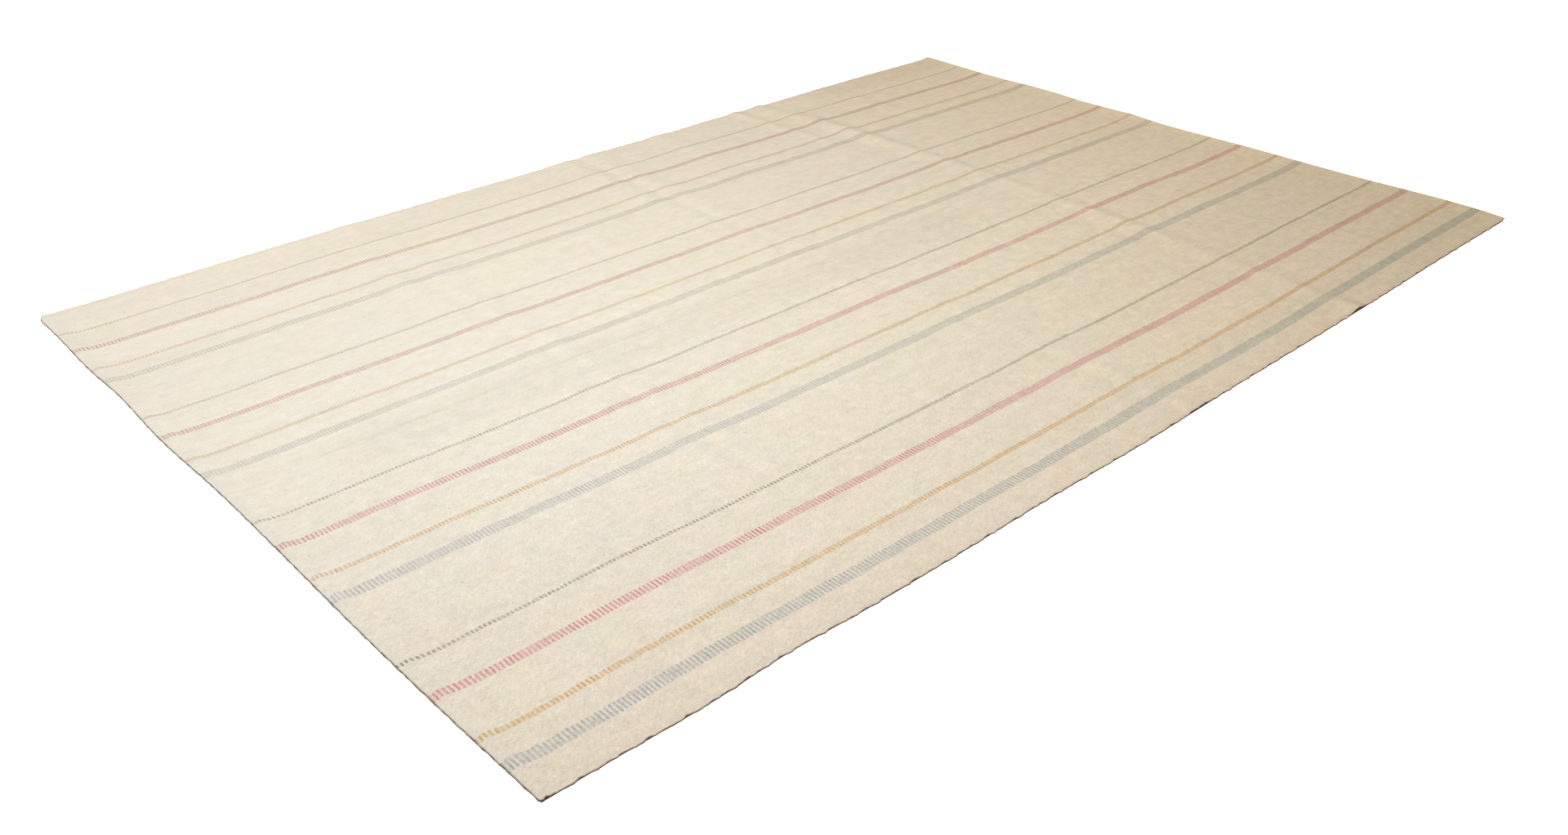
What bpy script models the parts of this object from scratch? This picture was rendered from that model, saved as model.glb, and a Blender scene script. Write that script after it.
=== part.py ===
"""A flat-woven wool rug, lying open on the floor with the ridges left by its folds.

Metres, +Z up. +X runs along the rug's length, and +Y runs across it, from the near
warp end to the far one. The origin is the centre of the rug's footprint, on the floor.

The cloth is first laid out in its own measures: "along" runs from 0 at the left
selvedge to LENGTH at the right one, and "across" from 0 at the near end to WIDTH at
the far end. It was folded in four along its length, so it has three cross folds. The
first two are creases that sink between two low ridges, and the last is one ridge.
"""

from typing import NamedTuple

import bmesh
import bpy
import numpy as np

# Driving sizes
LENGTH = 3.00
WIDTH = 2.03
THICKNESS = 0.0035
EDGE_FADE = 0.16  # how far into the cloth a wander of its outline is felt

# Look of the bare solid
CREAM = (0.80, 0.74, 0.62, 1.0)
WOOL_ROUGHNESS = 0.95


class Crest(NamedTuple):
    """A point on the crest of a ridge, with the rise of the cloth's underside there."""

    across: float
    along: float
    rise: float


class Ridge(NamedTuple):
    """A ridge across the rug, and how far its flanks run out on each side."""

    name: str
    left_run: float
    right_run: float
    crests: tuple


class Lift(NamedTuple):
    """How far a selvedge stands off the floor."""

    across: float
    rise: float


class Wander(NamedTuple):
    """How far an edge lies outside its straight line, at a place along that edge."""

    at: float
    out: float


class Zone(NamedTuple):
    """A stretch of the cloth and the spacing of the mesh lines in it."""

    start: float
    spacing: float


RIDGES = (
    Ridge("first fold, left ridge", 0.070, 0.042, (
        Crest(0.00, 0.735, 0.0006),
        Crest(0.25, 0.735, 0.0010),
        Crest(0.62, 0.733, 0.0028),
        Crest(0.90, 0.728, 0.0022),
        Crest(1.24, 0.717, 0.0028),
        Crest(1.65, 0.700, 0.0030),
        Crest(1.80, 0.700, 0.0012),
        Crest(2.03, 0.700, 0.0003),
    )),
    Ridge("first fold, right ridge", 0.042, 0.062, (
        Crest(0.00, 0.800, 0.0000),
        Crest(0.25, 0.800, 0.0006),
        Crest(0.62, 0.800, 0.0030),
        Crest(0.80, 0.802, 0.0034),
        Crest(1.14, 0.786, 0.0046),
        Crest(1.38, 0.774, 0.0034),
        Crest(1.62, 0.796, 0.0024),
        Crest(1.85, 0.785, 0.0008),
        Crest(2.03, 0.757, 0.0037),
    )),
    Ridge("middle fold, left ridge", 0.090, 0.040, (
        Crest(0.00, 1.490, 0.0012),
        Crest(0.25, 1.498, 0.0023),
        Crest(0.60, 1.494, 0.0060),
        Crest(0.80, 1.493, 0.0062),
        Crest(1.15, 1.486, 0.0045),
        Crest(1.38, 1.480, 0.0038),
        Crest(1.65, 1.463, 0.0056),
        Crest(1.88, 1.462, 0.0066),
        Crest(2.03, 1.455, 0.0056),
    )),
    Ridge("middle fold, right ridge", 0.038, 0.075, (
        Crest(0.00, 1.564, 0.0056),
        Crest(0.10, 1.566, 0.0030),
        Crest(0.30, 1.567, 0.0029),
        Crest(0.60, 1.556, 0.0084),
        Crest(0.78, 1.550, 0.0058),
        Crest(1.12, 1.541, 0.0036),
        Crest(1.36, 1.537, 0.0022),
        Crest(1.65, 1.537, 0.0060),
        Crest(1.88, 1.538, 0.0050),
        Crest(2.03, 1.534, 0.0066),
    )),
    Ridge("last fold", 0.062, 0.044, (
        Crest(0.00, 2.226, 0.0090),
        Crest(0.06, 2.232, 0.0050),
        Crest(0.27, 2.246, 0.0038),
        Crest(0.62, 2.258, 0.0088),
        Crest(0.80, 2.259, 0.0060),
        Crest(1.10, 2.264, 0.0040),
        Crest(1.40, 2.262, 0.0044),
        Crest(1.65, 2.247, 0.0070),
        Crest(1.85, 2.234, 0.0046),
        Crest(2.03, 2.190, 0.0046),
    )),
    Ridge("ripple before the last fold", 0.036, 0.032, (
        Crest(1.15, 2.140, 0.0000),
        Crest(1.40, 2.136, 0.0006),
        Crest(1.73, 2.126, 0.0022),
        Crest(2.03, 2.100, 0.0050),
    )),
    Ridge("ripple after the last fold", 0.036, 0.040, (
        Crest(0.10, 2.530, 0.0004),
        Crest(0.73, 2.512, 0.0011),
        Crest(1.24, 2.520, 0.0005),
        Crest(1.73, 2.500, 0.0010),
        Crest(2.03, 2.460, 0.0014),
    )),
    Ridge("wave by the far end", 0.060, 0.060, (
        Crest(1.35, 1.800, 0.0000),
        Crest(1.73, 1.790, 0.0009),
        Crest(2.03, 1.785, 0.0030),
    )),
)

LEFT_LIP_RUN = 0.042
LEFT_LIP = (
    Lift(0.00, 0.0030),
    Lift(0.22, 0.0042),
    Lift(0.73, 0.0050),
    Lift(1.24, 0.0046),
    Lift(1.73, 0.0042),
    Lift(2.03, 0.0050),
)

RIGHT_LIP_RUN = 0.085
RIGHT_LIP = (
    Lift(0.00, 0.0012),
    Lift(0.30, 0.0026),
    Lift(0.73, 0.0044),
    Lift(1.06, 0.0042),
    Lift(1.16, 0.0068),
    Lift(1.26, 0.0042),
    Lift(1.53, 0.0048),
    Lift(1.73, 0.0040),
    Lift(2.03, 0.0044),
)

NEAR_END = (
    Wander(0.00, 0.000),
    Wander(0.12, 0.001),
    Wander(0.30, 0.005),
    Wander(0.46, 0.000),
    Wander(0.62, 0.006),
    Wander(0.80, 0.008),
    Wander(1.10, 0.007),
    Wander(1.38, 0.011),
    Wander(1.65, 0.008),
    Wander(2.10, 0.007),
    Wander(2.35, 0.005),
    Wander(2.60, 0.001),
    Wander(3.00, 0.000),
)

FAR_END = (
    Wander(0.00, -0.006),
    Wander(0.10, -0.007),
    Wander(0.30, -0.002),
    Wander(0.65, 0.005),
    Wander(1.00, 0.005),
    Wander(1.35, 0.003),
    Wander(1.62, 0.005),
    Wander(1.87, 0.001),
    Wander(1.97, 0.005),
    Wander(2.16, 0.000),
    Wander(2.46, 0.001),
    Wander(2.70, 0.000),
    Wander(2.90, -0.006),
    Wander(3.00, -0.008),
)

LEFT_SELVEDGE = (
    Wander(0.00, 0.002),
    Wander(0.20, 0.006),
    Wander(0.48, 0.008),
    Wander(0.80, 0.005),
    Wander(1.02, 0.004),
    Wander(1.30, 0.010),
    Wander(1.54, 0.004),
    Wander(1.67, 0.008),
    Wander(1.88, 0.005),
    Wander(2.03, 0.005),
)

RIGHT_SELVEDGE = (
    Wander(0.00, 0.003),
    Wander(0.15, 0.010),
    Wander(0.42, -0.004),
    Wander(0.80, -0.011),
    Wander(1.05, -0.018),
    Wander(1.20, -0.012),
    Wander(1.32, -0.015),
    Wander(1.52, -0.006),
    Wander(1.66, -0.015),
    Wander(1.85, -0.012),
    Wander(2.03, -0.008),
)

# Mesh lines, close together where the cloth is not flat
COLUMN_ZONES = (
    Zone(0.000, 0.011),
    Zone(0.045, 0.120),
    Zone(0.640, 0.016),
    Zone(0.862, 0.105),
    Zone(1.390, 0.016),
    Zone(1.630, 0.048),
    Zone(1.870, 0.065),
    Zone(2.060, 0.016),
    Zone(2.315, 0.050),
    Zone(2.465, 0.024),
    Zone(2.580, 0.110),
    Zone(2.910, 0.015),
)
ROW_ZONES = (
    Zone(0.00, 0.030),
    Zone(0.12, 0.100),
    Zone(1.94, 0.045),
)


def clear_scene():
    for existing in list(bpy.context.scene.objects):
        bpy.data.objects.remove(existing, do_unlink=True)


def smooth_curve(stations, values, at):
    """Values along a smooth curve through a table's rows, flat past its two ends."""
    stations = np.asarray(stations)
    values = np.asarray(values)
    slopes = np.gradient(values, stations)
    slopes[[0, -1]] = 0.0
    at = np.clip(at, stations[0], stations[-1])
    row = np.clip(np.searchsorted(stations, at, side="right") - 1, 0, len(stations) - 2)
    gap = stations[row + 1] - stations[row]
    part = (at - stations[row]) / gap
    from_left = (1 + 2 * part) * (1 - part) ** 2 * values[row]
    from_right = part**2 * (3 - 2 * part) * values[row + 1]
    left_slope = part * (1 - part) ** 2 * gap * slopes[row]
    right_slope = part**2 * (part - 1) * gap * slopes[row + 1]
    return from_left + from_right + left_slope + right_slope


def wander_at(table, at):
    return smooth_curve([row.at for row in table], [row.out for row in table], at)


def ridge_rise(ridge, along, across):
    """Rise of one ridge: a rounded crest that runs out level on both sides."""
    stations = [crest.across for crest in ridge.crests]
    crest_along = smooth_curve(stations, [crest.along for crest in ridge.crests], across)
    crest_rise = smooth_curve(stations, [crest.rise for crest in ridge.crests], across)
    offset = along - crest_along
    run = np.where(offset < 0, ridge.left_run, ridge.right_run)
    share = np.clip(np.abs(offset) / run, 0.0, 1.0)
    return np.maximum(crest_rise, 0.0) * 0.5 * (1 + np.cos(np.pi * share))


def lip_rise(table, run, distance, across):
    """Rise of a selvedge that curls up off the floor over its last few centimetres."""
    rise = smooth_curve([row.across for row in table], [row.rise for row in table], across)
    return rise * np.clip(1 - distance / run, 0.0, 1.0) ** 2


def underside_rise(along, across):
    """Height of the cloth's underside above the floor."""
    rise = sum(ridge_rise(ridge, along, across) for ridge in RIDGES)
    rise = rise + lip_rise(LEFT_LIP, LEFT_LIP_RUN, along, across)
    rise = rise + lip_rise(RIGHT_LIP, RIGHT_LIP_RUN, LENGTH - along, across)
    return rise


def edge_share(distance):
    """How strongly a wander of the outline moves the cloth this far inside it."""
    return np.clip(1 - distance / EDGE_FADE, 0.0, 1.0) ** 2


def outline_shift(along, across):
    """Sideways shift of the cloth that follows the wander of its four edges."""
    right = wander_at(RIGHT_SELVEDGE, across) * edge_share(LENGTH - along)
    left = wander_at(LEFT_SELVEDGE, across) * edge_share(along)
    far = wander_at(FAR_END, along) * edge_share(WIDTH - across)
    near = wander_at(NEAR_END, along) * edge_share(across)
    return right - left, far - near


def mesh_lines(zones, end):
    """Places of the mesh lines: evenly spaced in each zone, up to the cloth's end."""
    starts = [zone.start for zone in zones] + [end]
    lines = []
    for zone, stop in zip(zones, starts[1:]):
        count = max(1, round((stop - zone.start) / zone.spacing))
        lines.extend(np.linspace(zone.start, stop, count, endpoint=False))
    return np.array(lines + [end])


def underside_points():
    """A grid of points over the cloth's underside, centred on the footprint."""
    along, across = np.meshgrid(
        mesh_lines(COLUMN_ZONES, LENGTH), mesh_lines(ROW_ZONES, WIDTH), indexing="ij"
    )
    shift_along, shift_across = outline_shift(along, across)
    x = along + shift_along
    y = across + shift_across
    z = underside_rise(along, across)
    x = x - (x.min() + x.max()) / 2
    y = y - (y.min() + y.max()) / 2
    return np.stack([x, y, z - z.min()], axis=-1)


def wool_material():
    material = bpy.data.materials.new("wool_weave")
    material.use_nodes = True
    shader = material.node_tree.nodes["Principled BSDF"]
    shader.inputs["Base Color"].default_value = CREAM
    shader.inputs["Roughness"].default_value = WOOL_ROUGHNESS
    shader.inputs["Metallic"].default_value = 0.0
    return material


def woven_panel():
    """The cloth: its underside as a grid, thickened straight up into one closed sheet."""
    points = underside_points()
    columns, rows = points.shape[:2]
    cloth = bmesh.new()
    grid = [[cloth.verts.new(points[i, j]) for j in range(rows)] for i in range(columns)]
    for i in range(columns - 1):
        for j in range(rows - 1):
            cloth.faces.new((grid[i][j], grid[i][j + 1], grid[i + 1][j + 1], grid[i + 1][j]))
    top = bmesh.ops.extrude_face_region(cloth, geom=cloth.faces[:], use_keep_orig=True)
    top_points = [item for item in top["geom"] if isinstance(item, bmesh.types.BMVert)]
    bmesh.ops.translate(cloth, verts=top_points, vec=(0.0, 0.0, THICKNESS))
    bmesh.ops.recalc_face_normals(cloth, faces=cloth.faces[:])

    mesh = bpy.data.meshes.new("woven_panel")
    cloth.to_mesh(mesh)
    cloth.free()
    mesh.materials.append(wool_material())
    panel = bpy.data.objects.new("woven_panel", mesh)
    bpy.context.scene.collection.objects.link(panel)
    return panel


clear_scene()
woven_panel()
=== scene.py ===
"""The looks of a flat-woven wool rug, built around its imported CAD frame.

Metres, +Z up, in the frame of the CAD part: +X runs along the rug's length, and +Y
runs across it, from the near warp end to the far one.

The cloth is first laid out in its own measures, as the CAD part is: "along" runs from
0 at the left selvedge to LENGTH at the right one, and "across" from 0 at the near end
to WIDTH at the far end. The warps run across, and each one shows as a rib. The weft
runs along, and carries the stripes.
"""

import math
from typing import NamedTuple

import bpy
import numpy as np
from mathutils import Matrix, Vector


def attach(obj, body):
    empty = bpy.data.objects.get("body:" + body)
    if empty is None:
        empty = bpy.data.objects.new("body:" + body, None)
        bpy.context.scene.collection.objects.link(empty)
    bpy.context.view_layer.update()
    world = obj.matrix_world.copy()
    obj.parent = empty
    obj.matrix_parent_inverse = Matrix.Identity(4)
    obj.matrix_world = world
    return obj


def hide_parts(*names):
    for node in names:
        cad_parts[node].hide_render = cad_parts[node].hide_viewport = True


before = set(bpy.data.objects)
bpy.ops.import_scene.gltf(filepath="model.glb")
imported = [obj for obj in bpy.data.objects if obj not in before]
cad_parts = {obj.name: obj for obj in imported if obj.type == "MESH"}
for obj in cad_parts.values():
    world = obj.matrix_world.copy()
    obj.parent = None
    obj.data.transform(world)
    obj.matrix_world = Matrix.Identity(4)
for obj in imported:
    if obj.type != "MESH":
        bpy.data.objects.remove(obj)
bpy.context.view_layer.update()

# Sizes that the CAD part has too
LENGTH = 3.00
WIDTH = 2.03
THICKNESS = 0.0035
EDGE_FADE = 0.16  # how far into the cloth a wander of its outline is felt

# The weave
WARPS = 764
WARP_PITCH = LENGTH / WARPS
PICK_PITCH = 0.0021
FUZZ_LEAN = math.radians(47.5)  # the way the fuzz lies, from the weft
RIB_RELIEF = 0.0002
CREASE = 0.6  # how straight the flanks of a ridge are, from 0, a wave, to 1, a sharp fold

# The mesh of the cloth
COLUMNS_PER_WARP = 4
WARPS_PER_UNDER_COLUMN = 4
SELVEDGE_LINE = 0.0003  # one more column where a selvedge turns
FINE_COLUMNS = 6  # columns by the left selvedge that follow its small unevenness
FINE_ROW = 0.006
TOP_ROWS = (0.020, 0.060, *(0.16 + 0.10 * k for k in range(19)), 2.010)
END_TURN = (50.0, 95.0)  # degrees round the edge of a warp end, from its top
END_FADE = 0.018  # how far in from a cut end its raggedness is felt
SELVEDGE_FADE = 0.004
HALF_ROW = 0.046  # the row that parts the near half from the far one in the bake's map
TOP_MAP = 0.41  # shares of the map's height
UNDER_MAP = (0.85, 0.15)

SEED = 11


class Crest(NamedTuple):
    """A point on the crest of a ridge, with the rise of the cloth's underside there."""

    across: float
    along: float
    rise: float


class Ridge(NamedTuple):
    """A ridge across the rug, and how far its flanks run out on each side."""

    name: str
    left_run: float
    right_run: float
    crests: tuple


class Lift(NamedTuple):
    """How far a selvedge stands off the floor."""

    across: float
    rise: float


class Wander(NamedTuple):
    """How far an edge lies outside its straight line, at a place along that edge."""

    at: float
    out: float


class Swing(NamedTuple):
    """How far each group of stripes lies towards the far end, in millimetres."""

    along: float
    edge: float
    near: float
    second: float
    third: float
    far: float


class Stripe(NamedTuple):
    """A dyed stripe: how much less it returns than the cream, and its bars' contrast."""

    name: str
    across: float
    width: float
    red: float
    green: float
    blue: float
    contrast: float


class Wave(NamedTuple):
    """One sine wave of an uneven line."""

    period: float
    height: float


class Nick(NamedTuple):
    """A place where the near end is ragged."""

    along: float
    half_width: float
    depth: float


class Tint(NamedTuple):
    """A wide, soft area of the ground with a slightly different colour."""

    along: float
    across: float
    reach_along: float
    reach_across: float
    red: float
    green: float
    blue: float


class ToneBand(NamedTuple):
    """A band of the ground that is darker or lighter than the rest: a slub, a wide band of tone, or
    painted light and shade.
    """

    across: float
    start: float
    end: float
    half_width: float
    tone: float


RIDGES = (
    Ridge("first fold, left ridge", 0.070, 0.042, (
        Crest(0.00, 0.735, 0.0006),
        Crest(0.25, 0.735, 0.0010),
        Crest(0.62, 0.733, 0.0028),
        Crest(0.90, 0.728, 0.0022),
        Crest(1.24, 0.717, 0.0018),
        Crest(1.65, 0.700, 0.0030),
        Crest(1.80, 0.700, 0.0012),
        Crest(2.03, 0.700, 0.0003),
    )),
    Ridge("first fold, right ridge", 0.042, 0.062, (
        Crest(0.00, 0.800, 0.0000),
        Crest(0.25, 0.800, 0.0006),
        Crest(0.62, 0.800, 0.0030),
        Crest(0.80, 0.802, 0.0034),
        Crest(1.14, 0.786, 0.0028),
        Crest(1.38, 0.774, 0.0026),
        Crest(1.62, 0.796, 0.0024),
        Crest(1.85, 0.785, 0.0008),
        Crest(2.03, 0.757, 0.0026),
    )),
    Ridge("middle fold, left ridge", 0.090, 0.040, (
        Crest(0.00, 1.490, 0.0006),
        Crest(0.20, 1.498, 0.0023),
        Crest(0.42, 1.495, 0.0014),
        Crest(0.65, 1.494, 0.0021),
        Crest(0.88, 1.491, 0.0015),
        Crest(1.15, 1.486, 0.0022),
        Crest(1.40, 1.480, 0.0018),
        Crest(1.65, 1.463, 0.0033),
        Crest(1.88, 1.462, 0.0027),
        Crest(2.03, 1.455, 0.0028),
    )),
    Ridge("middle fold, right ridge", 0.038, 0.075, (
        Crest(0.00, 1.564, 0.0042),
        Crest(0.04, 1.565, 0.0016),
        Crest(0.18, 1.567, 0.0026),
        Crest(0.40, 1.562, 0.0014),
        Crest(0.65, 1.554, 0.0027),
        Crest(0.90, 1.547, 0.0014),
        Crest(1.18, 1.540, 0.0022),
        Crest(1.40, 1.537, 0.0012),
        Crest(1.65, 1.537, 0.0040),
        Crest(1.88, 1.538, 0.0024),
        Crest(2.03, 1.534, 0.0027),
    )),
    Ridge("last fold", 0.060, 0.040, (
        Crest(0.00, 2.226, 0.0070),
        Crest(0.05, 2.232, 0.0030),
        Crest(0.20, 2.242, 0.0036),
        Crest(0.42, 2.252, 0.0021),
        Crest(0.66, 2.258, 0.0058),
        Crest(0.88, 2.260, 0.0024),
        Crest(1.15, 2.264, 0.0034),
        Crest(1.40, 2.262, 0.0040),
        Crest(1.67, 2.246, 0.0080),
        Crest(1.88, 2.230, 0.0040),
        Crest(2.03, 2.190, 0.0044),
    )),
    Ridge("ripple before the last fold", 0.036, 0.032, (
        Crest(1.15, 2.140, 0.0000),
        Crest(1.40, 2.136, 0.0006),
        Crest(1.73, 2.126, 0.0022),
        Crest(2.03, 2.100, 0.0050),
    )),
    Ridge("ripple after the last fold", 0.036, 0.040, (
        Crest(0.10, 2.530, 0.0004),
        Crest(0.73, 2.512, 0.0011),
        Crest(1.24, 2.520, 0.0005),
        Crest(1.73, 2.500, 0.0010),
        Crest(2.03, 2.460, 0.0014),
    )),
    Ridge("wave by the far end", 0.060, 0.060, (
        Crest(1.35, 1.800, 0.0000),
        Crest(1.73, 1.790, 0.0009),
        Crest(2.03, 1.785, 0.0030),
    )),
)

LEFT_LIP_RUN = 0.042
LEFT_LIP = (
    Lift(0.00, 0.0030),
    Lift(0.22, 0.0042),
    Lift(0.73, 0.0050),
    Lift(1.24, 0.0046),
    Lift(1.73, 0.0042),
    Lift(2.03, 0.0050),
)

RIGHT_LIP_RUN = 0.085
RIGHT_LIP = (
    Lift(0.00, 0.0036),
    Lift(0.30, 0.0026),
    Lift(0.73, 0.0044),
    Lift(1.06, 0.0042),
    Lift(1.16, 0.0068),
    Lift(1.26, 0.0042),
    Lift(1.53, 0.0048),
    Lift(1.73, 0.0040),
    Lift(2.03, 0.0044),
)

NEAR_END = (
    Wander(0.00, 0.000),
    Wander(0.12, 0.001),
    Wander(0.30, 0.005),
    Wander(0.46, 0.000),
    Wander(0.62, 0.006),
    Wander(0.80, 0.008),
    Wander(1.10, 0.007),
    Wander(1.38, 0.011),
    Wander(1.65, 0.008),
    Wander(2.10, 0.007),
    Wander(2.35, 0.005),
    Wander(2.60, 0.001),
    Wander(3.00, 0.000),
)

FAR_END = (
    Wander(0.00, -0.012),
    Wander(0.03, -0.007),
    Wander(0.10, -0.007),
    Wander(0.30, -0.002),
    Wander(0.65, 0.005),
    Wander(1.00, 0.005),
    Wander(1.35, 0.003),
    Wander(1.62, 0.005),
    Wander(1.87, 0.001),
    Wander(1.97, 0.005),
    Wander(2.16, 0.000),
    Wander(2.46, 0.001),
    Wander(2.70, 0.000),
    Wander(2.90, -0.006),
    Wander(3.00, -0.008),
)

LEFT_SELVEDGE = (
    Wander(0.00, 0.002),
    Wander(0.20, 0.006),
    Wander(0.48, 0.008),
    Wander(0.80, 0.005),
    Wander(1.02, 0.004),
    Wander(1.30, 0.010),
    Wander(1.54, 0.004),
    Wander(1.67, 0.008),
    Wander(1.88, 0.005),
    Wander(1.97, 0.005),
    Wander(2.00, 0.005),
    Wander(2.03, -0.005),
)

RIGHT_SELVEDGE = (
    Wander(0.00, -0.003),
    Wander(0.03, 0.003),
    Wander(0.15, 0.010),
    Wander(0.42, -0.004),
    Wander(0.80, -0.011),
    Wander(1.05, -0.018),
    Wander(1.20, -0.012),
    Wander(1.32, -0.015),
    Wander(1.52, -0.006),
    Wander(1.66, -0.015),
    Wander(1.85, -0.012),
    Wander(2.03, -0.008),
)

NICKS = (
    Nick(0.0135, 0.0030, 0.0022),
    Nick(0.0250, 0.0030, 0.0012),
    Nick(0.395, 0.005, 0.0012),
    Nick(0.775, 0.004, 0.0020),
    Nick(1.115, 0.005, 0.0012),
    Nick(1.905, 0.006, 0.0012),
    Nick(2.560, 0.005, 0.0014),
)
END_WAVES = (
    Wave(0.011, 0.00020),
    Wave(0.017, 0.00030),
    Wave(0.024, 0.00045),
    Wave(0.037, 0.00065),
    Wave(0.061, 0.00080),
)
SELVEDGE_WAVES = (
    Wave(0.014, 0.00022),
    Wave(0.021, 0.00030),
    Wave(0.034, 0.00035),
    Wave(0.055, 0.00035),
)
WARP_WAVES = (
    Wave(0.061, 0.00020),
    Wave(0.097, 0.00035),
    Wave(0.173, 0.00055),
    Wave(0.310, 0.00080),
)

# The stripes, and where the groups' middles are across the rug
GROUP_MIDDLES = (0.10, 0.32, 0.73, 1.24, 1.74)
SWINGS = (
    Swing(0.00, 9, 9, 12, 6, 0),
    Swing(0.012, 14, 14, 17, 11, 5),
    Swing(0.030, 11, 11, 13, 6, -1),
    Swing(0.06, 7, 8, 10, 4, -5),
    Swing(0.10, 6, 7, 10, 2.5, -5),
    Swing(0.30, 7.5, 8.5, 11, 5.5, -4),
    Swing(0.50, 6, 7, 7, 4, 0),
    Swing(0.70, 1, 1.5, 6.5, 6, 3.5),
    Swing(0.90, 0, 1, 3.5, 4, 0.5),
    Swing(1.30, -2, -1, 1.5, 4.5, 1),
    Swing(1.50, -1, -0.5, 0.5, 2, 5.5),
    Swing(1.65, -0.5, -1, -2, 0, 2),
    Swing(1.80, -3, -4, -2.5, 0, 4.5),
    Swing(2.00, -2, -4, -3.5, -3, -1),
    Swing(2.30, 1, -1, -3, -2.5, -2),
    Swing(2.50, 4, 1, -4, -8.5, -5.5),
    Swing(2.70, 5, 2, -10, -13.5, -11),
    Swing(2.90, 6, 2, -9, -17, -15),
    Swing(3.00, 6, 2, -7, -14, -12),
)
STRIPES = (
    Stripe("near blue", 0.0755, 0.0260, 0.22, 0.165, 0.11, 0.85),
    Stripe("near ochre", 0.1484, 0.0125, 0.08, 0.21, 0.35, 0.75),
    Stripe("near rose", 0.2708, 0.0200, 0.08, 0.29, 0.24, 0.85),
    Stripe("near slate", 0.3691, 0.0085, 0.26, 0.26, 0.28, 0.80),
    Stripe("second blue", 0.5884, 0.0255, 0.18, 0.155, 0.11, 0.70),
    Stripe("second ochre", 0.6610, 0.0125, 0.10, 0.20, 0.31, 0.65),
    Stripe("second rose", 0.7845, 0.0195, 0.10, 0.28, 0.24, 0.68),
    Stripe("second slate", 0.8834, 0.0085, 0.23, 0.235, 0.27, 0.66),
    Stripe("third blue", 1.0992, 0.0240, 0.15, 0.14, 0.13, 0.45),
    Stripe("third ochre", 1.1735, 0.0120, 0.10, 0.17, 0.26, 0.42),
    Stripe("third rose", 1.2905, 0.0180, 0.13, 0.255, 0.24, 0.45),
    Stripe("third slate", 1.3904, 0.0085, 0.19, 0.205, 0.24, 0.46),
    Stripe("far blue", 1.6012, 0.0235, 0.14, 0.14, 0.15, 0.55),
    Stripe("far ochre", 1.6699, 0.0120, 0.11, 0.17, 0.245, 0.55),
    Stripe("far rose", 1.7858, 0.0180, 0.15, 0.245, 0.25, 0.65),
    Stripe("far slate", 1.8872, 0.0080, 0.17, 0.19, 0.23, 0.60),
)
GROUP_SIZE = 4
BAR_GAPS = (0.0082, 0.0075, 0.0067, 0.0076)  # from bar to bar, in each group of stripes
TONE_BANDS = (
    ToneBand(1.020, 0.15, 1.50, 0.006, -0.05),
    ToneBand(0.990, 0.25, 2.00, 0.100, -0.045),
    # These three narrow bands are painted light and shade along the faint lengthwise fold lines
    ToneBand(0.511, 0.00, 1.60, 0.004, 0.03),
    ToneBand(0.516, 2.20, 2.50, 0.004, -0.04),
    ToneBand(1.522, 0.00, 0.40, 0.004, -0.04),
    ToneBand(1.730, -0.20, 0.60, 0.100, 0.03),
    ToneBand(0.210, -0.20, 2.60, 0.080, 0.02),
    # A wide band, darker towards the far right corner: painted shade where the light falls off
    ToneBand(1.990, 2.40, 3.20, 0.080, -0.06),
)

TINTS = (
    # The first tint, less red and bluer by the near right corner, is painted shade where the light
    # falls off
    Tint(2.85, 0.05, 0.75, 0.75, -0.045, -0.005, 0.030),
    Tint(2.95, 1.20, 0.50, 0.90, 0.010, 0.010, 0.010),
    Tint(1.70, 0.75, 0.60, 0.90, 0.0, 0.0, -0.025),
    Tint(0.15, 1.00, 0.90, 1.50, -0.008, 0.0, 0.030),
    Tint(0.90, 0.00, 1.60, 0.16, 0.018, 0.0, 0.005),
    Tint(0.30, 2.03, 0.70, 0.25, 0.030, 0.030, 0.030),
)

# Colours
CREAM = (0.82, 0.77, 0.65)
# Dark colours of the near end and the left selvedge: partly dirt, partly painted shade of the edge's
# lower side and of the gap under the curled selvedge
SOILED_AND_SHADED = (0.26, 0.19, 0.14)
GREYED_AND_SHADED = (0.17, 0.16, 0.15)
PALED = (0.95, 0.93, 0.88)
BLACK = (0.0, 0.0, 0.0)
WHITE = (1.0, 1.0, 1.0)
DULLING = (0.065, 0.050, 0.060)  # what the dyes take besides, by the right selvedge

# The camera, in the frame of the part
CAMERA_AT = (-2.1788, -2.2510, 1.4180)
CAMERA_TURN = (59.4641, 0.2706, -42.5457)
CAMERA_LENS = 32.112
SENSOR = 36.0
PIXEL_FILTER = 1.2  # narrower than usual, as the photograph is sharp

# Light
KEY_AT = (-0.63, -0.37, 3.0)
KEY_AIM = (-1.93, 2.42, 0.0)
KEY_SIDE = 1.2
KEY_POWER = 95.0
KEY_COLOUR = (0.67, 0.83, 1.00)
FILL_FROM = (-0.50, 0.20, 1.00)
FILL_STRENGTH = 1.78  # on the level floor
FILL_COLOUR = (1.00, 0.737, 0.447)
FILL_ANGLE = 80.0

# The floor
FLOOR_REACH = 14.0
FLOOR_BOUNCE = (0.20, 0.24, 0.30)
# The floor beneath the rug is painted this dark brown and glows faintly with it to the camera:
# painted shade under the cloth's raised edges
SHADE = (0.22, 0.18, 0.14)
SHADE_GLOW = 0.25
SHADE_IN = 0.0015  # how far inside the cloth's outline the floor turns dark
LEFT_SHADE_IN = 0.004  # and by the left selvedge, which curls up off the floor
OUTLINE_POINTS = 300


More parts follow.
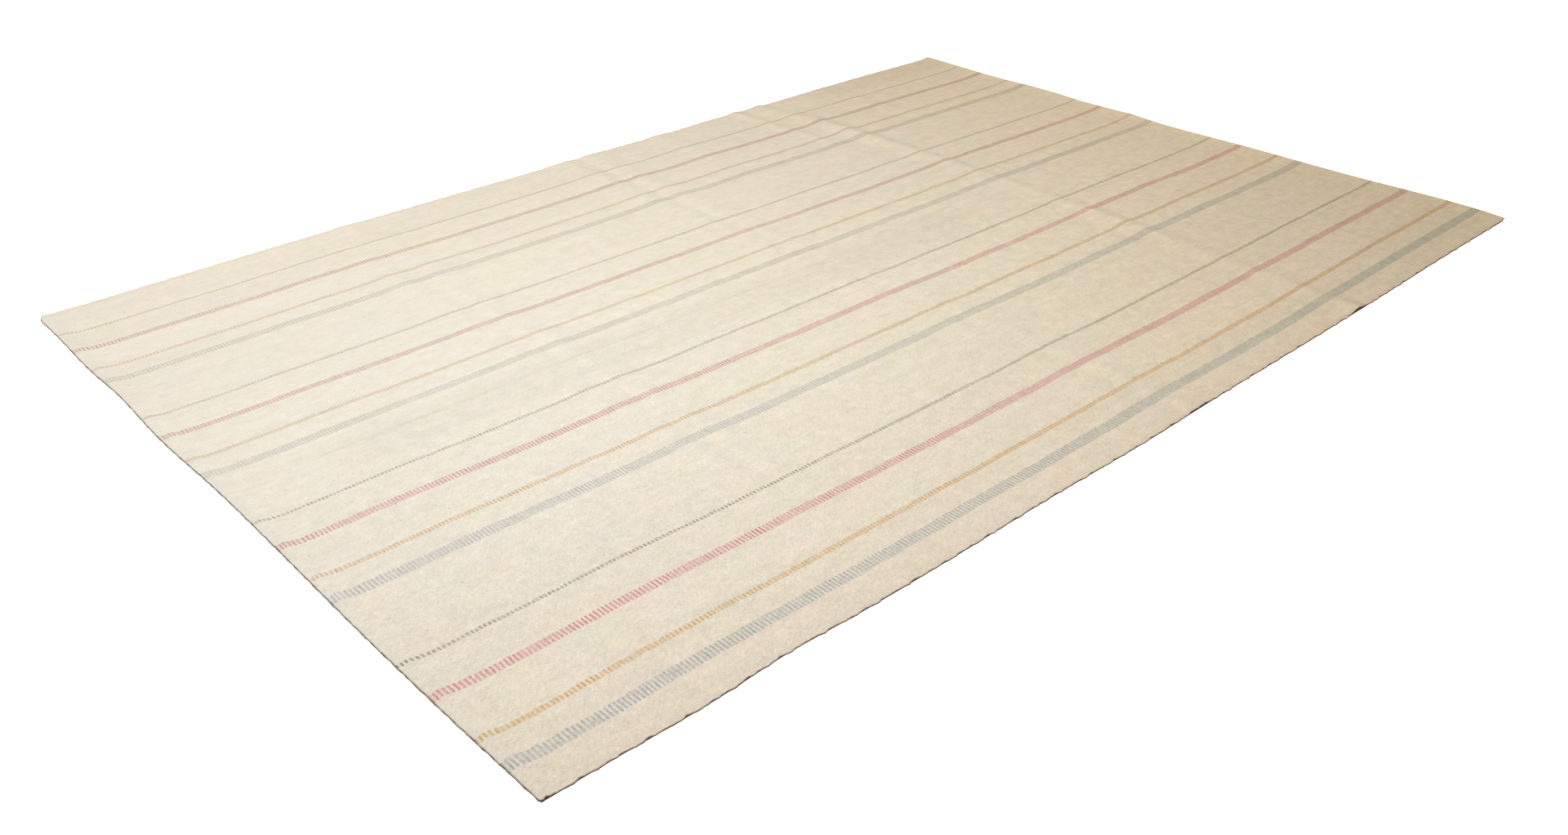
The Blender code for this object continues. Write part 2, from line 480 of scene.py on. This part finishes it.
def smooth_curve(stations, values, at):
    """Values along a smooth curve through a table's rows, flat past its two ends."""
    stations = np.asarray(stations)
    values = np.asarray(values)
    slopes = np.gradient(values, stations)
    slopes[[0, -1]] = 0.0
    at = np.clip(at, stations[0], stations[-1])
    row = np.clip(np.searchsorted(stations, at, side="right") - 1, 0, len(stations) - 2)
    gap = stations[row + 1] - stations[row]
    part = (at - stations[row]) / gap
    from_left = (1 + 2 * part) * (1 - part) ** 2 * values[row]
    from_right = part**2 * (3 - 2 * part) * values[row + 1]
    left_slope = part * (1 - part) ** 2 * gap * slopes[row]
    right_slope = part**2 * (part - 1) * gap * slopes[row + 1]
    return from_left + from_right + left_slope + right_slope


def wander_at(table, at):
    return smooth_curve([row.at for row in table], [row.out for row in table], at)


def ridge_rise(ridge, along, across):
    """Rise of one ridge, with a soft crease along its crest and where its flanks end."""
    stations = [crest.across for crest in ridge.crests]
    crest_along = smooth_curve(stations, [crest.along for crest in ridge.crests], across)
    crest_rise = smooth_curve(stations, [crest.rise for crest in ridge.crests], across)
    offset = along - crest_along
    run = np.where(offset < 0, ridge.left_run, ridge.right_run)
    share = np.clip(np.abs(offset) / run, 0.0, 1.0)
    rounded = 0.5 * (1 + np.cos(np.pi * share))
    flank = CREASE * (1 - share) + (1 - CREASE) * rounded
    return np.maximum(crest_rise, 0.0) * flank


def lip_rise(table, run, distance, across):
    """Rise of a selvedge that curls up off the floor over its last few centimetres."""
    rise = smooth_curve([row.across for row in table], [row.rise for row in table], across)
    return rise * np.clip(1 - distance / run, 0.0, 1.0) ** 2


def underside_rise(along, across):
    """Height of the cloth's underside above the floor."""
    rise = sum(ridge_rise(ridge, along, across) for ridge in RIDGES)
    rise = rise + lip_rise(LEFT_LIP, LEFT_LIP_RUN, along, across)
    rise = rise + lip_rise(RIGHT_LIP, RIGHT_LIP_RUN, LENGTH - along, across)
    return rise


def edge_share(distance, fade=EDGE_FADE):
    """How strongly a wander of the outline moves the cloth this far inside it."""
    return np.clip(1 - distance / fade, 0.0, 1.0) ** 2


def outline_shift(along, across):
    """Sideways shift of the cloth that follows the wander of its four edges."""
    right = wander_at(RIGHT_SELVEDGE, across) * edge_share(LENGTH - along)
    left = wander_at(LEFT_SELVEDGE, across) * edge_share(along)
    far = wander_at(FAR_END, along) * edge_share(WIDTH - across)
    near = wander_at(NEAR_END, along) * edge_share(across)
    return right - left, far - near


def stripe_swing(along, across):
    """How far the stripes have swung towards the far end at a place on the rug."""
    stations = [row.along for row in SWINGS]
    groups = [[row[k] for row in SWINGS] for k in range(1, len(GROUP_MIDDLES) + 1)]
    at_groups = np.array([smooth_curve(stations, group, along) for group in groups])
    place = np.interp(across, GROUP_MIDDLES, range(len(GROUP_MIDDLES)))
    low = np.minimum(place.astype(int), len(GROUP_MIDDLES) - 2)
    share = place - low
    lower = np.take_along_axis(at_groups, low[None], 0)[0]
    upper = np.take_along_axis(at_groups, low[None] + 1, 0)[0]
    return (lower * (1 - share) + upper * share) / 1000


def uneven(table, at, chance, lean=0.0):
    """An uneven line: a sum of waves, each with a start of its own."""
    starts = chance.uniform(0, 2 * np.pi, len(table))
    leans = chance.uniform(-1, 1, len(table))
    parts = [
        wave.height * np.sin(2 * np.pi * at / wave.period + start + turn * lean)
        for wave, start, turn in zip(table, starts, leans)
    ]
    return sum(parts)


def nicks(along):
    bites = [
        nick.depth * np.exp(-(((along - nick.along) / nick.half_width) ** 2))
        for nick in NICKS
    ]
    return sum(bites)


def warp_places(along, across, chance):
    """Where the warps lie: unevenly spaced, and creeping a little over the rug."""
    even = np.linspace(0.0, LENGTH, WARPS + 1)
    spaced = even + chance.uniform(-0.06, 0.06, WARPS + 1) * WARP_PITCH
    spaced[[0, -1]] = even[[0, -1]]
    from_edge = np.minimum(along, LENGTH - along)
    creep = uneven(WARP_WAVES, along, chance, 4.0 * across)
    return np.interp(along, even, spaced) + creep * np.clip(from_edge / 0.02, 0.0, 1.0)


def rib_relief(along, chance):
    """Height of the ribs over each warp, from valley to valley."""
    warp = np.minimum((along / WARP_PITCH + 1e-6).astype(int), WARPS - 1)
    height = chance.uniform(0.4, 1.6, WARPS)[warp]
    return RIB_RELIEF * height * 0.5 * (1 - np.cos(2 * np.pi * along / WARP_PITCH))


def column_lines():
    """Columns of the cloth's mesh, four to each warp, and those its underside keeps."""
    even = np.linspace(0.0, LENGTH, WARPS * COLUMNS_PER_WARP + 1)
    lines = np.sort(np.append(even, [SELVEDGE_LINE, LENGTH - SELVEDGE_LINE]))
    step = WARPS_PER_UNDER_COLUMN * COLUMNS_PER_WARP
    middle = range(FINE_COLUMNS + step, len(lines) - FINE_COLUMNS - step // 2, step)
    last = range(len(lines) - FINE_COLUMNS, len(lines))
    return lines, [*range(FINE_COLUMNS), *middle, *last]


def row_rings():
    """Rows over the cloth from end to end, as (across, outward, up), and the coarse ones."""
    radius = THICKNESS / 2
    turn = np.radians([0.0, *END_TURN])
    near = [(radius, -math.sin(t), math.cos(t)) for t in turn[::-1]]
    far = [(WIDTH - radius, math.sin(t), math.cos(t)) for t in turn]
    fine = np.arange(TOP_ROWS[0] + FINE_ROW, TOP_ROWS[-1] - FINE_ROW / 2, FINE_ROW)
    spare = np.abs(fine[:, None] - np.array(TOP_ROWS)).min(1) > FINE_ROW / 3
    across = np.sort(np.concatenate([TOP_ROWS, fine[spare]]))
    top = [(place, 0.0, 1.0) for place in across]
    coarse = np.isin(across, TOP_ROWS).nonzero()[0] + len(near)
    ends = range(len(near)), range(len(near) + len(top), len(near) + len(top) + len(far))
    return np.array(near + top + far), [*ends[0], *coarse, *ends[1]]


def place_points(along, ring, side):
    """Points of one side of the cloth over columns and rows, and their places in the weave."""
    chance = np.random.default_rng(SEED)
    radius = THICKNESS / 2
    across, outward, up = (part[None, :] for part in ring.T)
    along = along[:, None]
    warp_along = along + 0 * across
    relief = rib_relief(along, chance)
    near_ragged = uneven(END_WAVES, along, chance) - nicks(along)
    far_ragged = uneven(END_WAVES, along, chance)
    selvedge = uneven(SELVEDGE_WAVES, across, chance)
    from_edge = np.minimum(along, LENGTH - along)
    full = np.sqrt(1 - np.clip(1 - from_edge / radius, 0.0, 1.0) ** 2)
    along = warp_places(along, across, chance)

    shift_along, shift_across = outline_shift(along, across)
    end_distance = np.minimum(across, WIDTH - across) - radius
    ragged = np.where(across < WIDTH / 2, -near_ragged, far_ragged)
    shift_across = shift_across + ragged * edge_share(end_distance, END_FADE)
    shift_along = shift_along - selvedge * edge_share(along, SELVEDGE_FADE)
    skin = radius + relief * np.clip(side * up, 0.0, 1.0)
    x = along + shift_along
    y = across + shift_across + outward * skin
    z = underside_rise(along, across) + radius + side * up * skin * full
    woven = y - stripe_swing(x, y)
    from_near = across + outward * radius + 0 * warp_along
    others = np.minimum(WIDTH - from_near, LENGTH - warp_along)
    places = {
        "weave_place": np.stack([warp_along, woven, 0 * woven], -1),
        "weave_edges": np.stack([from_near, warp_along, others], -1),
    }
    return np.stack([x, y, z], -1), places


def footprint_centre():
    """Centre of the CAD cloth's footprint, in the cloth's own measures."""
    stations = np.linspace(0.0, 1.0, 400)
    left = -wander_at(LEFT_SELVEDGE, stations * WIDTH)
    right = LENGTH + wander_at(RIGHT_SELVEDGE, stations * WIDTH)
    near = -wander_at(NEAR_END, stations * LENGTH)
    far = WIDTH + wander_at(FAR_END, stations * LENGTH)
    return (left.min() + right.max()) / 2, (near.min() + far.max()) / 2


def strip_faces(left, right, shared, flip):
    """Faces between two columns of points, one for each gap between the shared rows.

    A column is a dictionary from its rows to its points. One with more rows than those
    shared gives its faces more corners on that side.
    """
    faces = []
    for low, high in zip(shared[:-1], shared[1:]):
        down = [left[k] for k in range(high, low - 1, -1) if k in left]
        up = [right[k] for k in range(low, high + 1) if k in right]
        face = down + up
        faces.append(face[::-1] if flip else face)
    return faces


def side_faces(columns, few, many, point, flip):
    """Faces over one side of the cloth."""
    faces = []
    fine = [i < FINE_COLUMNS for i in columns]
    cells = [{k: point(i, k) for k in (many if i < FINE_COLUMNS else few)} for i in columns]
    for place in range(len(cells) - 1):
        shared = many if fine[place] and fine[place + 1] else few
        faces += strip_faces(cells[place], cells[place + 1], shared, flip)
    return faces


def end_faces(kept, point, under_point, outer, inner, flip):
    """Faces under one end, from the turn's last row to the underside's first."""
    between = list(range(outer, inner, 1 if inner > outer else -1))[1:]
    faces = []
    for left, right in zip(kept[:-1], kept[1:]):
        turn_up = [point(right, k) for k in between[::-1]] if right == kept[-1] else []
        turn_down = [point(left, k) for k in between] if left == kept[0] else []
        span = [point(i, outer) for i in range(right, left - 1, -1)]
        face = [under_point(left, inner), under_point(right, inner), *turn_up, *span, *turn_down]
        faces.append(face[::-1] if flip else face)
    return faces


def woven_faces(columns, kept, rows, coarse):
    """Faces of the closed sheet, and how many of them are on top."""
    turn = len(END_TURN)
    flat = list(range(turn, rows - turn))
    flat_coarse = [k for k in coarse if k in flat]

    def point(i, k):
        return i * rows + k

    def under_point(i, k):
        """A point of the underside. Top and underside meet at the two selvedges."""
        return point(i, k) if i in (0, columns - 1) else (columns + i) * rows + k

    top = side_faces(range(columns), coarse, list(range(rows)), point, flip=False)
    under = side_faces(kept, flat_coarse, flat, under_point, flip=True)
    under += end_faces(kept, point, under_point, 0, turn, flip=False)
    under += end_faces(kept, point, under_point, rows - 1, rows - 1 - turn, flip=True)
    return top + under, len(top)


def bake_map(mesh, top_faces):
    """Lays the cloth out flat: near half, far half and underside, one above another."""
    points = np.empty(len(mesh.vertices) * 3)
    corners = np.empty(len(mesh.loops), int)
    counts = np.empty(len(mesh.polygons), int)
    centres = np.empty(len(mesh.polygons) * 3)
    mesh.vertices.foreach_get("co", points)
    mesh.loops.foreach_get("vertex_index", corners)
    mesh.polygons.foreach_get("loop_total", counts)
    mesh.polygons.foreach_get("center", centres)
    points = points.reshape(-1, 3)
    low, high = points.min(0), points.max(0)
    share = ((points - low) / (high - low))[corners]
    far_half = centres.reshape(-1, 3)[:, 1] > HALF_ROW
    middle = ((HALF_ROW - low) / (high - low))[1]
    top = np.where(np.repeat(far_half, counts), 1 + share[:, 1] - middle, share[:, 1])
    under = np.repeat(np.arange(len(counts)) >= top_faces, counts)
    up = np.where(under, UNDER_MAP[0] + UNDER_MAP[1] * share[:, 1], TOP_MAP * top)
    layout = mesh.uv_layers.new(name="OFBake")
    layout.data.foreach_set("uv", np.stack([share[:, 0], up], -1).astype(np.float32).ravel())


def woven_panel():
    """The rug: one closed sheet with its ribs, folds, curled selvedges and ragged ends."""
    lines, kept = column_lines()
    ring, coarse = row_rings()
    top, top_places = place_points(lines, ring, 1)
    under, under_places = place_points(lines, ring, -1)
    centre_x, centre_y = footprint_centre()
    co = np.concatenate([top.reshape(-1, 3), under.reshape(-1, 3)]) - (centre_x, centre_y, 0.0)
    faces, top_faces = woven_faces(len(lines), kept, len(ring), coarse)
    used, corners = np.unique(np.concatenate(faces), return_inverse=True)
    ends = np.cumsum([len(face) for face in faces])
    faces = [part.tolist() for part in np.split(corners, ends[:-1])]

    mesh = bpy.data.meshes.new("woven_rug")
    mesh.from_pydata(co[used].tolist(), [], faces)
    for name in top_places:
        places = np.concatenate([top_places[name].reshape(-1, 3), under_places[name].reshape(-1, 3)])
        stored = mesh.attributes.new(name, "FLOAT_VECTOR", "POINT")
        stored.data.foreach_set("vector", places[used].astype(np.float32).ravel())
    mesh.shade_smooth()
    bake_map(mesh, top_faces)
    rug = bpy.data.objects.new("woven_rug", mesh)
    bpy.context.scene.collection.objects.link(rug)
    return rug


class Weave:
    """Adds nodes to a material. A value is a number, a colour or another node's output."""

    def __init__(self, name):
        self.material = bpy.data.materials.new(name)
        self.material.use_nodes = True
        self.tree = self.material.node_tree
        self.shader = self.tree.nodes["Principled BSDF"]

    def node(self, kind, inputs=(), **settings):
        made = self.tree.nodes.new("ShaderNode" + kind)
        for name, value in settings.items():
            setattr(made, name, value)
        for socket, value in dict(inputs).items():
            self.feed(made.inputs[socket], value)
        return made

    def feed(self, socket, value):
        if isinstance(value, bpy.types.NodeSocket):
            self.tree.links.new(value, socket)
        elif socket.type == "RGBA":
            socket.default_value = (*value, 1.0)
        else:
            socket.default_value = value

    def math(self, operation, *values):
        return self.node("Math", enumerate(values), operation=operation).outputs[0]

    def add(self, *values):
        total = values[0]
        for value in values[1:]:
            total = self.math("ADD", total, value)
        return total

    def times(self, first, second):
        return self.math("MULTIPLY", first, second)

    def around(self, value, spread):
        """A value from 0 to 1 turned into one around zero, of the given spread."""
        return self.times(self.math("SUBTRACT", value, 0.5), spread)

    def colours(self, operation, first, second):
        made = self.node("VectorMath", operation=operation)
        for socket, value in zip(made.inputs, (first, second)):
            self.feed(socket, value)
        return made.outputs[0]

    def remap(self, value, low, high, to_low=0.0, to_high=1.0):
        inputs = {"Value": value, "From Min": low, "From Max": high}
        inputs |= {"To Min": to_low, "To Max": to_high}
        return self.node("MapRange", inputs, interpolation_type="SMOOTHSTEP").outputs[0]

    def mix(self, share, first, second):
        made = self.node("Mix", data_type="RGBA")
        self.feed(made.inputs[0], share)
        self.feed(made.inputs[6], first)
        self.feed(made.inputs[7], second)
        return made.outputs[2]

    def place(self, x, y, z=0.0):
        return self.node("CombineXYZ", {"X": x, "Y": y, "Z": z}).outputs[0]

    def noise(self, at, waves, detail=1.0, roughness=0.5, output="Fac"):
        """Noise over the cloth, with so many waves to a metre along it and across it."""
        place = self.place(*[self.times(part, count) for part, count in zip(at, waves)])
        inputs = {"Vector": place, "Scale": 1.0, "Detail": detail, "Roughness": roughness}
        return self.node("TexNoise", inputs).outputs[output]

    def stored(self, name):
        """The three numbers that the mesh keeps under a name."""
        return self.parts(self.node("Attribute", attribute_name=name).outputs["Vector"])

    def parts(self, vector):
        return self.node("SeparateXYZ", {0: vector}).outputs

    def chance(self, x, y, z=0.0):
        return self.node("TexWhiteNoise", {"Vector": self.place(x, y, z)}).outputs["Value"]


def crispness(weave, at):
    """How crisp the grain is: softer towards the far end and the right selvedge."""
    along, across = at
    return weave.times(
        weave.remap(across, 0.0, 1.5, 1.25, 0.38),
        weave.remap(along, 0.2, 2.6, 1.0, 0.65),
    )


def speckle(weave, at):
    """The fine grain of the wool's fuzz, which lies slantwise, around zero."""
    along, across = at
    lean_along, lean_across = math.cos(FUZZ_LEAN), math.sin(FUZZ_LEAN)
    with_fuzz = weave.add(weave.times(along, lean_along), weave.times(across, lean_across))
    over_fuzz = weave.add(weave.times(across, lean_along), weave.times(along, -lean_across))
    return weave.around(weave.noise((with_fuzz, over_fuzz), (75.0, 160.0), 2.0, 0.8), 1.0)


def mottling(weave, at):
    """Uneven tone over a few centimetres, around zero."""
    along, across = at
    depth = weave.times(
        weave.remap(along, 0.0, LENGTH, 0.18, 0.28),
        weave.remap(across, 0.7, 1.7, 1.0, 0.75),
    )
    return weave.times(weave.around(weave.noise(at, (26.0, 34.0), 1.0, 0.85), 1.0), depth)


def tinted(weave, at, colour):
    """Tints the wide areas of the table, one of them painted shade, and small patches everywhere."""
    along, across = at
    patches = weave.noise(at, (10.0, 15.0), 3.0, output="Color")
    patches = weave.colours("SUBTRACT", patches, (0.5, 0.5, 0.5))
    shift = weave.colours("MULTIPLY", patches, (0.10, 0.06, 0.13))
    for tint in TINTS:
        off_along = weave.times(weave.math("SUBTRACT", along, tint.along), 1 / tint.reach_along)
        off_across = weave.times(weave.math("SUBTRACT", across, tint.across), 1 / tint.reach_across)
        square = weave.add(weave.times(off_along, off_along), weave.times(off_across, off_across))
        share = weave.remap(square, 0.0, 1.0, 1.0, 0.0)
        share = weave.place(share, share, share)
        area = weave.colours("MULTIPLY", share, (tint.red, tint.green, tint.blue))
        shift = weave.colours("ADD", shift, area)
    return weave.colours("MULTIPLY", colour, weave.colours("ADD", shift, WHITE))


def cream_wool(weave, at, yarn, grain):
    """The undyed ground: yarns that differ a little, grain, slubs, specks and tints, with some bands
    and a tint of painted light and shade.
    """
    along, across = at
    tone = weave.add(
        1.0,
        weave.times(grain, 0.31),
        weave.times(weave.around(yarn, 0.09), crispness(weave, at)),
        mottling(weave, at),
        weave.around(weave.noise(at, (3.0, 100.0), 1.0), 0.07),
        weave.around(weave.noise(at, (0.6, 14.0)), 0.06),
    )
    # Some bands are painted light and shade, along the lengthwise fold lines and by the far right
    # corner
    for tone_band in TONE_BANDS:
        offset = weave.math("ABSOLUTE", weave.math("SUBTRACT", across, tone_band.across))
        share = weave.remap(offset, tone_band.half_width * 0.3, tone_band.half_width, tone_band.tone, 0.0)
        share = weave.times(share, weave.remap(along, tone_band.start - 0.06, tone_band.start + 0.06))
        share = weave.times(share, weave.remap(along, tone_band.end - 0.10, tone_band.end + 0.10, 1.0, 0.0))
        tone = weave.add(tone, share)
    speck = weave.math("GREATER_THAN", yarn, 0.9985)
    tone = weave.add(tone, weave.times(speck, -0.25))
    return tinted(weave, at, weave.colours("MULTIPLY", CREAM, weave.place(tone, tone, tone)))


def bars(weave, at, grain, gap):
    """A deep and a pale bar in turn, around zero, weaker here and there and to the right."""
    along, _ = at
    lean = weave.around(weave.noise(at, (45.0, 70.0), 2.0), 2.4)
    swing = weave.math("SINE", weave.add(weave.times(along, 2 * math.pi / gap), lean))
    swing = weave.remap(weave.add(swing, weave.times(grain, 2.0)), -0.75, 0.75)
    strength = weave.times(
        weave.remap(weave.noise(at, (9.0, 26.0), 2.0), 0.35, 0.62, 0.45, 1.15),
        weave.remap(along, 0.5, 1.9, 1.0, 0.3),
    )
    return weave.times(weave.around(swing, 2.0), strength)


def dyes(weave, at, warp, grain):
    """What the dyed stripes take from the cream, each through its own bars."""
    along, across = at
    step = weave.math("FLOOR", weave.times(across, 50.0))
    ragged = weave.around(weave.chance(warp, step, 3.0), 0.0014)
    wander = weave.around(weave.noise(at, (6.0, 8.0)), 0.007)
    wobble = weave.around(weave.noise(at, (16.0, 10.0)), 0.003)
    across = weave.add(across, ragged, wander, wobble, weave.times(grain, 0.004))
    groups = [bars(weave, at, grain, gap) for gap in BAR_GAPS]
    taken, dyed = BLACK, 0.0
    for number, stripe in enumerate(STRIPES):
        offset = weave.math("ABSOLUTE", weave.math("SUBTRACT", across, stripe.across))
        edge = stripe.width / 2
        inside = weave.remap(offset, edge - 0.001, edge + 0.001, 1.0, 0.0)
        barred = weave.times(groups[number // GROUP_SIZE], stripe.contrast)
        depth = weave.add(1.0, barred, weave.times(grain, -1.5))
        depth = weave.times(inside, depth)
        share = weave.place(depth, depth, depth)
        colour = weave.colours("MULTIPLY", (stripe.red, stripe.green, stripe.blue), share)
        taken = weave.colours("ADD", taken, colour)
        dyed = weave.add(dyed, inside)
    patches = weave.noise(at, (34.0, 60.0), 2.0, output="Color")
    patches = weave.colours("MULTIPLY", patches, (0.25, 0.25, 0.25))
    uneven_bars = weave.add(0.875, weave.around(weave.chance(warp, step), 0.3))
    patches = weave.colours("ADD", patches, weave.place(uneven_bars, uneven_bars, uneven_bars))
    taken = weave.colours("MULTIPLY", taken, patches)
    dull = weave.times(dyed, weave.remap(along, 0.0, LENGTH))
    dull = weave.colours("MULTIPLY", weave.place(dull, dull, dull), DULLING)
    taken = weave.colours("ADD", taken, dull)
    return weave.colours("SUBTRACT", WHITE, taken)


def worn_and_shaded_edges(weave, at, colour):
    """Darkens the cut near end and the left selvedge with dirt and painted shade, and pales the far
    edges.
    """
    from_near, from_left, from_others = weave.stored("weave_edges")
    tufts = weave.remap(weave.noise(at, (60.0, 60.0), 2.0), 0.35, 0.65, 0.55, 1.0)
    # Painted shade and dirt along the near end and along the left selvedge
    near_dirt_and_shade = weave.times(tufts, weave.remap(from_near, 0.0008, 0.0026, 0.80, 0.0))
    left_dirt_and_shade = weave.times(tufts, weave.remap(from_left, 0.0010, 0.0036, 0.95, 0.0))
    colour = weave.mix(near_dirt_and_shade, colour, SOILED_AND_SHADED)
    colour = weave.mix(left_dirt_and_shade, colour, GREYED_AND_SHADED)
    return weave.mix(weave.remap(from_others, 0.0, 0.003, 0.5, 0.0), colour, PALED)


def wool_weave():
    """Weft-faced wool: ribs over the warps, picks across them, stripes and yarn shades."""
    weave = Weave("wool_weave")
    along, across, _ = weave.stored("weave_place")
    at = (along, across)
    from_left = weave.times(along, 1 / WARP_PITCH)
    warp = weave.math("FLOOR", from_left)
    odd = weave.math("MODULO", warp, 2.0)
    sway = weave.parts(weave.noise(at, (110.0, 160.0), output="Color"))
    pick = weave.times(across, 1 / PICK_PITCH)
    pick = weave.add(pick, weave.times(odd, 0.5), weave.around(sway[0], 1.6))
    strand = weave.math("FLOOR", weave.add(from_left, weave.around(sway[1], 0.9)))
    yarn = weave.chance(strand, weave.math("FLOOR", pick))
    crisp = crispness(weave, at)
    grain = weave.times(speckle(weave, at), crisp)
    ground = cream_wool(weave, at, yarn, grain)
    colour = weave.colours("MULTIPLY", ground, dyes(weave, at, warp, grain))
    weave.feed(weave.shader.inputs["Base Color"], worn_and_shaded_edges(weave, at, colour))

    arch = weave.math("ABSOLUTE", weave.math("SINE", weave.times(pick, math.pi)))
    fuzz = weave.noise(at, (900.0, 1400.0), 3.0)
    height = weave.add(weave.times(arch, 0.3), weave.times(fuzz, 0.5), weave.times(yarn, 0.35))
    bump = weave.node("Bump", {"Height": height, "Distance": 0.0003, "Strength": crisp})
    weave.feed(weave.shader.inputs["Normal"], bump.outputs[0])
    weave.feed(weave.shader.inputs["Roughness"], weave.remap(fuzz, 0.2, 0.8, 0.82, 0.98))
    weave.feed(weave.shader.inputs["Specular IOR Level"], 0.25)
    weave.feed(weave.shader.inputs["Sheen Weight"], 0.10)
    weave.feed(weave.shader.inputs["Sheen Roughness"], 0.5)
    return weave.material


def floor_paint(name, seen_colour, glow):
    """A matt paint that is dark to the light it returns, and of one colour to the camera."""
    paint = Weave(name)
    seen = paint.node("LightPath").outputs["Is Camera Ray"]
    paint.feed(paint.shader.inputs["Base Color"], paint.mix(seen, FLOOR_BOUNCE, seen_colour))
    paint.feed(paint.shader.inputs["Roughness"], 1.0)
    paint.feed(paint.shader.inputs["Specular IOR Level"], 0.0)
    paint.feed(paint.shader.inputs["Emission Color"], seen_colour)
    paint.feed(paint.shader.inputs["Emission Strength"], paint.times(seen, glow))
    return paint.material


def outline():
    """Where the floor turns from painted shade to white, as a loop of points round the rug."""
    runs = np.linspace(0.0, 1.0, OUTLINE_POINTS, endpoint=False)
    zero = 0 * runs
    left, right = LEFT_SHADE_IN, LENGTH - SHADE_IN
    near, far = SHADE_IN, WIDTH - SHADE_IN
    sides = (
        (left + runs * (right - left), near + zero),
        (right + zero, near + runs * (far - near)),
        (right - runs * (right - left), far + zero),
        (left + zero, far - runs * (far - near)),
    )
    loop = []
    for along, across in sides:
        shift_along, shift_across = outline_shift(along, across)
        loop.append(np.stack([along + shift_along, across + shift_across], -1))
    return np.concatenate(loop) - footprint_centre()


def floor():
    """A plain floor: white round the rug, and painted as shade beneath it, with a faint glow."""
    inner = outline()
    outer = inner * FLOOR_REACH
    count = len(inner)
    corners = [(x, y, 0.0) for x, y in np.concatenate([inner, outer])]
    ring = [(k, k + count, (k + 1) % count + count, (k + 1) % count) for k in range(count)]
    mesh = bpy.data.meshes.new("floor")
    mesh.from_pydata(corners, [], [list(range(count)), *ring])
    # The patch beneath the rug is painted shade, which glows faintly to the camera
    mesh.materials.append(floor_paint("floor_shade", SHADE, SHADE_GLOW))
    mesh.materials.append(floor_paint("floor_white", WHITE, 1.0))
    mesh.polygons.foreach_set("material_index", [0] + [1] * count)
    plane = bpy.data.objects.new("floor", mesh)
    bpy.context.scene.collection.objects.link(plane)


def lights():
    """A cool soft box over the left half, and an even warm fill from the far left."""
    key = bpy.data.lights.new("key", "AREA")
    key.shape = "SQUARE"
    key.size = KEY_SIDE
    key.energy = KEY_POWER
    key.color = KEY_COLOUR
    key_lamp = bpy.data.objects.new("key", key)
    key_lamp.location = KEY_AT
    toward = Vector(KEY_AIM) - Vector(KEY_AT)
    key_lamp.rotation_euler = toward.to_track_quat("-Z", "Y").to_euler()
    fill = bpy.data.lights.new("fill", "SUN")
    fill_from = Vector(FILL_FROM).normalized()
    fill.energy = FILL_STRENGTH / fill_from.z
    fill.color = FILL_COLOUR
    fill.angle = math.radians(FILL_ANGLE)
    fill_lamp = bpy.data.objects.new("fill", fill)
    fill_lamp.rotation_euler = fill_from.to_track_quat("Z", "Y").to_euler()
    for lamp in (key_lamp, fill_lamp):
        bpy.context.scene.collection.objects.link(lamp)


def surroundings():
    """White behind everything, and nearly no light from it."""
    world = bpy.data.worlds.new("studio")
    world.use_nodes = True
    nodes = world.node_tree.nodes
    seen = nodes.new("ShaderNodeLightPath").outputs["Is Camera Ray"]
    strength = nodes.new("ShaderNodeMapRange")
    strength.inputs["To Min"].default_value = 0.0
    world.node_tree.links.new(seen, strength.inputs["Value"])
    background = nodes["Background"]
    background.inputs["Color"].default_value = (*WHITE, 1.0)
    world.node_tree.links.new(strength.outputs[0], background.inputs["Strength"])
    bpy.context.scene.world = world
    bpy.context.scene.view_settings.view_transform = "Standard"
    bpy.context.scene.cycles.filter_width = PIXEL_FILTER
    bpy.context.scene.cycles.denoising_prefilter = "NONE"


def camera():
    data = bpy.data.cameras.new("camera")
    data.sensor_width = SENSOR
    data.lens = CAMERA_LENS
    data.clip_end = 100.0
    made = bpy.data.objects.new("camera", data)
    made.location = CAMERA_AT
    made.rotation_euler = [math.radians(turn) for turn in CAMERA_TURN]
    bpy.context.scene.collection.objects.link(made)
    bpy.context.scene.camera = made


rug = woven_panel()
rug.data.materials.append(wool_weave())
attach(rug, "root")
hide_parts("woven_panel")
floor()
lights()
surroundings()
camera()
